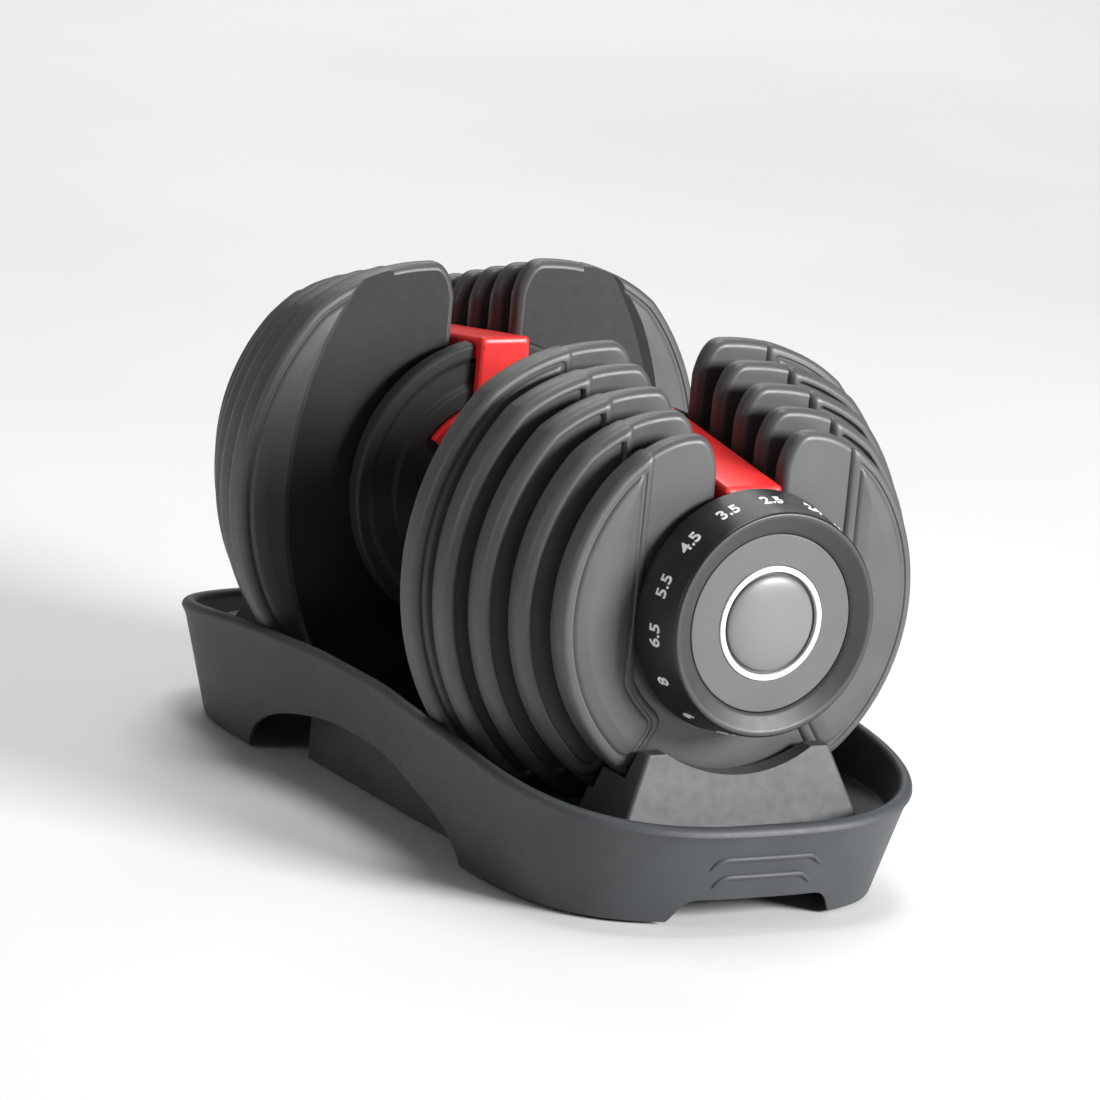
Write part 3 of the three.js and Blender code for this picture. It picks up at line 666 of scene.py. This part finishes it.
def disc(name, index):
    low, high = box_mm(f"selector_disc_{index + 1}_rear")
    y = low.y
    shoulder = y + DISC_THICK
    piece = turned(name, [
        (DISC_BORE_RADIUS, y, 0.3), (DISC_RADIUS, y, 0.6), (DISC_RADIUS, shoulder, 0.6),
        (DISC_HUB_RADIUS, shoulder, 1), (DISC_HUB_RADIUS, high.y, 0.4), (DISC_BORE_RADIUS, high.y, 0.3),
    ], segments=96)
    half = math.radians(RIDGE_SPANS[index]) / 2
    start, end = -math.pi / 2 - half, -math.pi / 2 + half
    inner, outer = RIDGE_RADII
    outline = arc(outer, start, end, 60) + arc(inner, end, start, 60)
    edge = [(0, 0), (0, RIDGE_REACH - 0.2), (0.3, RIDGE_REACH + 0.2)]
    return join(piece, slab("ridge", lambda depth: inset(outline, depth), edge, shoulder - 0.2))


for index in range(PLATE_COUNT):
    place_at_ends(lambda name: disc(name, index), f"disc_{index + 1}", f"selector_disc_{index + 1}",
                  "dial_{end}", "selector_disc")

# ---------------------------------------------------------------- flanges, bridges and grip


def bridge_top(y):
    slope = (BRIDGE_TOP_INNER - BRIDGE_TOP_OUTER) / (DIAL_BACK_Y - FLANGE_LOW.y)
    return BRIDGE_TOP_OUTER + slope * (DIAL_BACK_Y - y)


def flange(name):
    inner, outer, radius = FLANGE_LOW.y, FLANGE_HIGH.y, FLANGE_HIGH.x
    groove_in, floor_in, floor_out, groove_out = FLANGE_GROOVE["radii"]
    groove_floor = inner + FLANGE_GROOVE["depth"]
    piece = turned(name, [
        (FLANGE_BORE_RADIUS, inner, 0.4), (groove_in, inner, 0.8), (floor_in, groove_floor, 1.2),
        (floor_out, groove_floor, 1.2), (groove_out, inner, 1.2), (radius, inner, 2), (radius, outer, 2),
        (FLANGE_BORE_RADIUS, outer, 0.4),
    ], segments=160)
    floor = AXIS_Z + bridge_top(outer) - BRIDGE_DEPTH - 1
    half = BRIDGE_HALVES[1]
    ceiling = AXIS_Z + radius + PAST
    return cut(piece, block("notch", (-half, half), (inner - 1, outer + 1), (floor, ceiling)))


def across(half, low, high, rounding):
    """A rounded rectangle round (0, 0), as points (x, height)."""
    return rounded([(-half, low, rounding), (half, low, rounding), (half, high, rounding),
                    (-half, high, rounding)])


def bridge(name):
    """A sloping beam over the discs, a leg down the flange's inner side, and a collar round the grip."""
    inner, outer = BRIDGE_LOW.y, BRIDGE_HIGH.y
    rings = []
    for share in (0, 0.004, 0.012, 0.025, 0.05, 0.5, 0.985, 0.997, 1):
        y = lerp(inner, outer, share)
        half = lerp(*BRIDGE_HALVES, share)
        near_end = min(y - inner, outer - y)
        short_by = max(0, BRIDGE_ROUND - near_end * 1.6)
        tuck = BRIDGE_ROUND - math.sqrt(max(0, BRIDGE_ROUND ** 2 - short_by ** 2))
        top = bridge_top(y) - tuck
        section = across(half - tuck * 0.6, top - BRIDGE_DEPTH + tuck * 0.4, top, 2.6)
        rings.append([(p.x, y, AXIS_Z + p.y) for p in section])
    piece = from_rings(name, rings)
    half = BRIDGE_HALVES[0]
    leg = rounded([(-half, inner, 1.6), (half, inner, 1.6), (half, inner + LEG_THICK, 1.0),
                   (-half, inner + LEG_THICK, 1.0)])
    low, high = AXIS_Z + COLLAR_RADII[0] + 6, AXIS_Z + BRIDGE_TOP_INNER - 5
    join(piece, from_rings("leg", [[(p.x, p.y, h) for p in leg] for h in (low, high)]))
    start, end = math.pi / 2 - COLLAR_HALF, math.pi / 2 + COLLAR_HALF
    collar = arc(COLLAR_RADII[1], start, end, 48) + arc(COLLAR_RADII[0], end, start, 48)
    edge = [(0, 0), (0, 1.3), (0.3, 1.9), (1, 2.3)]
    return join(piece, slab("collar", lambda depth: inset(collar, depth), edge, inner + LEG_THICK / 2))


def grip(name):
    """Rubber, fuller in the middle, with a fine ring of ribs and a plain bead at each end."""
    end = GRIP_END_Y
    bead = end - 5
    corners = [(GRIP_BORE_RADIUS, end, 0), (GRIP_BORE_RADIUS, -end, 0), (GRIP_END_RADIUS, -end, 0.8),
               (GRIP_END_RADIUS, -bead, 0.8)]
    start = end - 7
    for rib in range(GRIP_RIBS):
        y = lerp(-start, start, rib / (GRIP_RIBS - 1))
        body = 15.0 + 1.7 * math.cos(y / start * math.pi / 2) ** 2
        corners += [(body - 0.5, y - 1.3, 0.3), (body, y - 0.8, 0.4), (body, y + 0.8, 0.4),
                    (body - 0.5, y + 1.3, 0.3)]
    corners += [(GRIP_END_RADIUS, bead, 0.8), (GRIP_END_RADIUS, end, 0.8)]
    return turned(name, corners, segments=96, steps=2)


place_at_ends(flange, "flange_disc", "inner_flange", "handle", "flange")
place_at_ends(bridge, "red_bridge", "selector_bridge", "handle", "bridge")
hand_grip = dress(grip("ribbed_grip"), "grip_rubber")
shade(hand_grip)
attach(hand_grip, "handle")
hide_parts("grip_sleeve")

# ---------------------------------------------------------------- storage tray


def rim_height(y):
    """The rim is level along the sides and sinks towards the ends."""
    fall = min(1, max(0, (abs(y) - RIM_LEVEL_HALF) / (TRAY_END_Y - RIM_LEVEL_HALF)))
    return RIM_MIDDLE - (RIM_MIDDLE - RIM_END) * fall ** RIM_FALL_POWER


def tray_plan(moved_in, corner_steps=44):
    """The tray seen from above, as points (x, y), moved in from the rim."""
    width = TRAY_HALF_WIDTH - moved_in
    waist = TRAY_WAIST_HALF - moved_in
    depth = TRAY_END_Y - TRAY_END_START - moved_in
    power = 2 / TRAY_CORNER_POWER
    quarter = []
    for step in range(14):
        y = TRAY_END_START * step / 14
        quarter.append((lerp(waist, width, smooth(y, 20, 66)), y))
    for step in range(corner_steps + 1):
        angle = step / corner_steps * math.pi / 2
        across_x = width * max(0.0, math.cos(angle)) ** power
        quarter.append((across_x, TRAY_END_START + depth * math.sin(angle) ** power))
    rear = quarter + [(-x, y) for x, y in reversed(quarter[:-1])]
    return rear + [(x, -y) for x, y in reversed(rear[1:-1])]


def tray_loft(name, stations):
    """A closed skin through stations (moved in, height as a function of y)."""
    return from_rings(name, [[(x, y, height(y)) for x, y in tray_plan(moved_in)]
                             for moved_in, height in stations])


def level(height):
    return lambda y: height


def under_rim(drop):
    return lambda y: rim_height(y) - drop


def under_blend(share):
    return lambda y: lerp(TRAY_LOW.z, rim_height(y) - RIM_ROUND, share)


def outer_skin():
    """From the base up the outer wall, over the rim's ridge and down to the deck."""
    wall = [(BASE_INSET + 1.2, level(TRAY_LOW.z)), (BASE_INSET + 0.3, level(TRAY_LOW.z + 0.4)),
            (BASE_INSET - 0.4, level(TRAY_LOW.z + 1.6))]
    for share in (0.25, 0.5, 0.75, 0.92):
        wall.append((lerp(BASE_INSET, WALL_TOP_INSET, share), under_blend(share)))
    ridge = []
    for step in range(11):
        angle = math.pi * step / 10
        drop = RIM_ROUND - RIM_ROUND * math.sin(angle)
        ridge.append((RIM_WIDTH / 2 * (1 - math.cos(angle)), under_rim(drop)))
    inside = [(RIM_WIDTH + 0.5, under_rim(4.4)), (RIM_WIDTH + DECK_DRAFT - 0.8, level(DECK_HEIGHT + 1.2)),
              (RIM_WIDTH + DECK_DRAFT - 0.2, level(DECK_HEIGHT + 0.3)),
              (RIM_WIDTH + DECK_DRAFT + 0.8, level(DECK_HEIGHT))]
    return tray_loft("tray_body", wall + ridge + inside)


def bar(radius, y0, y1, segments=200):
    return turned("bar", [(0, y0, 0), (radius, y0, 0), (radius, y1, 0), (0, y1, 0)], segments)


def pockets(extra, segments=200):
    """One stepped round bar through each end's plates, drawn for the rear end."""
    half = PLATE_PITCH / 2
    corners = [(0, PLATE_Y[0] - half - extra, 0)]
    for radius, y in zip(PLATE_RADII, PLATE_Y):
        reach = radius + POCKET_GAP + extra
        corners += [(reach, corners[-1][1] if len(corners) > 1 else y - half - extra, 0),
                    (reach, y + half + extra, 0)]
    corners.append((0, corners[-1][1], 0))
    return turned("pockets", corners, segments)


def saddle(shrink):
    """A pedestal with a sloping front and sides under the dial, scooped out round it."""
    base, top = DECK_HEIGHT - 1 - shrink, SADDLE["top"] - shrink
    y0 = SADDLE["y"] + shrink
    rings = []
    for height, half, depth in ((base, SADDLE["half_base"], SADDLE["base_depth"]),
                                (top, SADDLE["half_top"], SADDLE["top_depth"])):
        half, y1 = half - shrink, SADDLE["y"] + depth - shrink
        round_front = SADDLE["corner"] if shrink == 0 else 0.1
        plan = rounded([(-half, y0, 0), (half, y0, 0), (half, y1, round_front), (-half, y1, round_front)])
        rings.append([(p.x, p.y, height) for p in plan])
    piece = from_rings("saddle", rings)
    scoop_end = SADDLE["y"] + SADDLE["base_depth"] + PAST
    return cut(piece, bar(SADDLE["scoop"] + shrink, y0 - PAST, scoop_end))


def across_bar(name, outline, half):
    """An outline in Y and Z, made thick along X."""
    return from_rings(name, [[(x, p.x, p.y) for p in outline] for x in (-half, half)])


def upright(radius, z0, z1, x, y):
    circle = arc(radius, 0, 2 * math.pi * 47 / 48, 47, (x, y))
    return from_rings("upright", [[(p.x, p.y, z) for p in circle] for z in (z0, z1)])


def turned_to(piece, turn):
    piece.data.transform(Matrix.Rotation(turn, 4, "Z"))
    return piece


def wall_point(x, z):
    """The point on the tray's rear outer wall at x and z."""
    share = (z - TRAY_LOW.z) / (rim_height(TRAY_END_Y) - RIM_ROUND - TRAY_LOW.z)
    moved_in = lerp(BASE_INSET, WALL_TOP_INSET, share)
    width = TRAY_HALF_WIDTH - moved_in
    depth = TRAY_END_Y - TRAY_END_START - moved_in
    bend = max(0.0, 1 - (abs(x) / width) ** TRAY_CORNER_POWER) ** (1 / TRAY_CORNER_POWER)
    return Vector((x, TRAY_END_START + depth * bend, z))


def wall_bead(half, height, drop, radius):
    """A raised line on the end wall: level, with ends that turn down."""
    path = resampled([Vector(p) for p in rounded_line(half, height, drop)], 60)
    rings = []
    for at, point in enumerate(path):
        here = wall_point(point.x, point.y)
        before = path[max(0, at - 1)]
        after = path[min(len(path) - 1, at + 1)]
        along = (wall_point(after.x, after.y) - wall_point(before.x, before.y)).normalized()
        side = along.cross(Vector((0, 1, 0.25)).normalized()).normalized()
        out = side.cross(along).normalized()
        taper = min(1, 0.25 + min(at, len(path) - 1 - at) / 5)
        rings.append([here + (side * math.cos(a) * 1.3 + out * math.sin(a)) * radius * taper
                      for a in [2 * math.pi * step / 12 for step in range(12)]])
    return from_rings("bead", rings)


def rounded_line(half, height, drop):
    turn_in = drop * 1.6
    return (bezier((-half, height - drop), (-half + turn_in * 0.4, height), (-half + turn_in, height), 10)
            + bezier((half - turn_in, height), (half - turn_in * 0.4, height), (half, height - drop), 10))


def at_feet():
    return [(x, y) for x in (-FOOT["x"], FOOT["x"]) for y in (-FOOT["y"], FOOT["y"])]


def tray_hollow(well_end):
    """The room under the tray's deck, a wall's thickness inside every upper surface."""
    hollow = tray_loft("hollow", [(BASE_INSET + TRAY_WALL, level(-PAST)),
                                  (TRAY_WALL, under_rim(TRAY_WALL + 3))])
    deck_edge = RIM_WIDTH - TRAY_WALL
    deck_under = tray_loft("deck_under", [(deck_edge + DECK_DRAFT, level(DECK_HEIGHT - TRAY_WALL)),
                                          (deck_edge, level(RIM_MIDDLE + 30))])
    cut(hollow, deck_under)
    wide = WELL_HALF + TRAY_WALL
    long = well_end + TRAY_WALL
    for turn in ENDS.values():
        join(hollow, turned_to(saddle(TRAY_WALL), turn))
        cut(hollow, turned_to(pockets(TRAY_WALL, 96), turn))
    cut(hollow, block("well", (-wide, wide), (-long, long), (WELL_FLOOR - TRAY_WALL, RIM_MIDDLE + 20)))
    for x, y in at_feet():
        cut(hollow, upright(FOOT["boss"], -10, DECK_HEIGHT, x, y))
    return hollow


def side_arches():
    """The low arches through both side walls, clear of the well's walls."""
    outline = [Vector((ARCH["half"] * p.x, ARCH["height"] * p.y)) for p in arc(1, 0, math.pi, 96)]
    outline += [Vector((-ARCH["half"], -10)), Vector((ARCH["half"], -10))]
    arches = across_bar("arches", outline, TRAY_HALF_WIDTH + 10)
    kept = WELL_HALF + TRAY_WALL + 1
    return cut(arches, block("kept", (-kept, kept), (-TRAY_END_Y, TRAY_END_Y), (-20, ARCH["height"] + 1)))


def end_gate():
    """The raised bottom edge in the rear end wall."""
    half, slope, height = END_ARCH["half"], END_ARCH["slope"], END_ARCH["height"]
    outline = rounded([(-half - slope, -PAST, 0), (half + slope, -PAST, 0), (half, height, 6),
                       (-half, height, 6)])
    return from_rings("gate", [[(p.x, y, p.y) for p in outline]
                               for y in (END_ARCH["from_y"], TRAY_END_Y + PAST)])


def lock_post():
    """Holds the rear lock pin up while the dumbbell is in the tray."""
    half_x, half_y = LOCK_POST["half_x"], LOCK_POST["half_y"]
    y = (FLANGE_LOW.y + FLANGE_HIGH.y) / 2
    top = AXIS_Z - FLANGE_HIGH.x - LOCK_POST["drop"]
    return block("lock_post", (-half_x, half_x), (y - half_y, y + half_y), (WELL_FLOOR - 1, top))


def storage_tray():
    piece = outer_skin()
    well_end = PLATE_Y[0] - PLATE_PITCH / 2 + 0.5
    cut(piece, block("well", (-WELL_HALF, WELL_HALF), (-well_end, well_end),
                     (WELL_FLOOR, RIM_MIDDLE + 20)))
    for turn in ENDS.values():
        cut(piece, turned_to(pockets(0), turn))
    for turn in ENDS.values():
        join(piece, turned_to(saddle(0), turn))
        cut(piece, turned_to(pockets(0), turn))
    cut(piece, tray_hollow(well_end))
    cut(piece, side_arches())
    for turn in ENDS.values():
        cut(piece, turned_to(end_gate(), turn))
        for half, height in END_LINES["halves_heights"]:
            line = wall_bead(half, height, END_LINES["drop"], END_LINES["radius"])
            join(piece, turned_to(line, turn))
        join(piece, turned_to(lock_post(), turn))
    for x, y in at_feet():
        cut(piece, upright(FOOT["radius"] + GAP, -1, FOOT["height"] + GAP, x, y))
    return piece


tray = storage_tray()
dress(tray, "tray")
shade(tray, 32)
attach(tray, "tray")
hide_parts("storage_tray")


def foot(name, x, y):
    radius, height = FOOT["radius"], FOOT["height"]
    corners = [(0, 0, 0), (radius, 0, 1.2), (radius, height, 0.4), (0, height, 0)]
    piece = turned(name, corners, segments=72, z=0.0)
    piece.data.transform(Matrix.Rotation(math.pi / 2, 4, "X"))
    piece.data.transform(Matrix.Translation(Vector((x, y, 0)) * MM))
    return piece


for end in ENDS:
    for side in ("left", "right"):
        node = f"tray_foot_{end}_{side}"
        low, high = box_mm(node)
        pad = foot(f"rubber_foot_{end}_{side}", (low.x + high.x) / 2, (low.y + high.y) / 2)
        dress(pad, "foot_rubber")
        shade(pad)
        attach(pad, "tray")
        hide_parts(node)

# ---------------------------------------------------------------- CAD nodes that show as they are

CARRIED = {
    "handle_tube": "steel",
    "shaft_bushing": "bronze",
    "selector_shaft": "steel",
    "end_screw": "steel",
    "lock_pin": "steel",
    "lock_spring": "steel",
    "detent_plunger": "steel",
    "detent_spring": "steel",
}

for name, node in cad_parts.items():
    kind = name.replace("_front", "").replace("_rear", "")
    if kind in CARRIED:
        node.data.materials.clear()
        node.data.materials.append(MATERIALS[CARRIED[kind]])
        node.data.shade_smooth()
        node.data.set_sharp_from_angle(angle=math.radians(40))

# ---------------------------------------------------------------- floor, lights and camera


def floor():
    half = 6.0
    mesh = bpy.data.meshes.new("floor")
    corners = [(-half, -half, 0), (half, -half, 0), (half, half, 0), (-half, half, 0)]
    mesh.from_pydata(corners, [], [(0, 1, 2, 3)])
    plane = bpy.data.objects.new("floor", mesh)
    bpy.context.scene.collection.objects.link(plane)
    surface = Surface("pale_floor")
    clouds = surface.remap(surface.noise(400, 2.0), 0.0, 1.0)
    colour = surface.mix(clouds, (0.78, 0.78, 0.78), (0.82, 0.82, 0.82))
    mesh.materials.append(surface.done(colour, surface.remap(clouds, 0.6, 0.7, 0.0, 1.0)))
    plane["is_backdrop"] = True


def soft_light(name, place, target, size, power):
    light = bpy.data.lights.new(name, "AREA")
    light.shape = "RECTANGLE"
    light.size, light.size_y = size
    light.energy = power
    holder = bpy.data.objects.new(name, light)
    holder.location = place
    holder.rotation_euler = (Vector(target) - Vector(place)).to_track_quat("-Z", "Y").to_euler()
    bpy.context.scene.collection.objects.link(holder)


def sky(strength):
    world = bpy.data.worlds.new("studio")
    bpy.context.scene.world = world
    world.use_nodes = True
    background = world.node_tree.nodes["Background"]
    background.inputs["Color"].default_value = (1, 1, 1, 1)
    background.inputs["Strength"].default_value = strength


AZIMUTH = math.radians(-31)
ELEVATION = math.radians(13.3)
ROLL = math.radians(5.5)
DISTANCE = 3.3
LENS = 246.0


def camera():
    back = Vector((math.sin(AZIMUTH) * math.cos(ELEVATION), -math.cos(AZIMUTH) * math.cos(ELEVATION),
                   math.sin(ELEVATION)))
    target = (cad_low + cad_high) / 2
    data = bpy.data.cameras.new("camera")
    data.lens = LENS
    holder = bpy.data.objects.new("camera", data)
    holder.location = target + back * DISTANCE
    turn = (-back).to_track_quat("-Z", "Y").to_matrix().to_4x4() @ Matrix.Rotation(ROLL, 4, "Z")
    holder.rotation_euler = turn.to_euler()
    bpy.context.scene.collection.objects.link(holder)
    bpy.context.scene.camera = holder


floor()
soft_light("key", (1.05, -1.85, 0.85), (0, 0, 0.1), (0.9, 0.6), 85)
soft_light("side", (-1.9, 0.1, 0.6), (0, 0, 0.1), (0.25, 1.0), 5)
soft_light("top", (0.1, 0.2, 2.0), (0, 0, 0.1), (0.8, 0.8), 18)
soft_light("backdrop", (1.3, 2.6, 2.2), (1.3, 2.6, 0), (2.6, 2.2), 60)
sky(0.11)
camera()
bpy.context.scene.view_settings.view_transform = "Standard"

low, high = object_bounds()
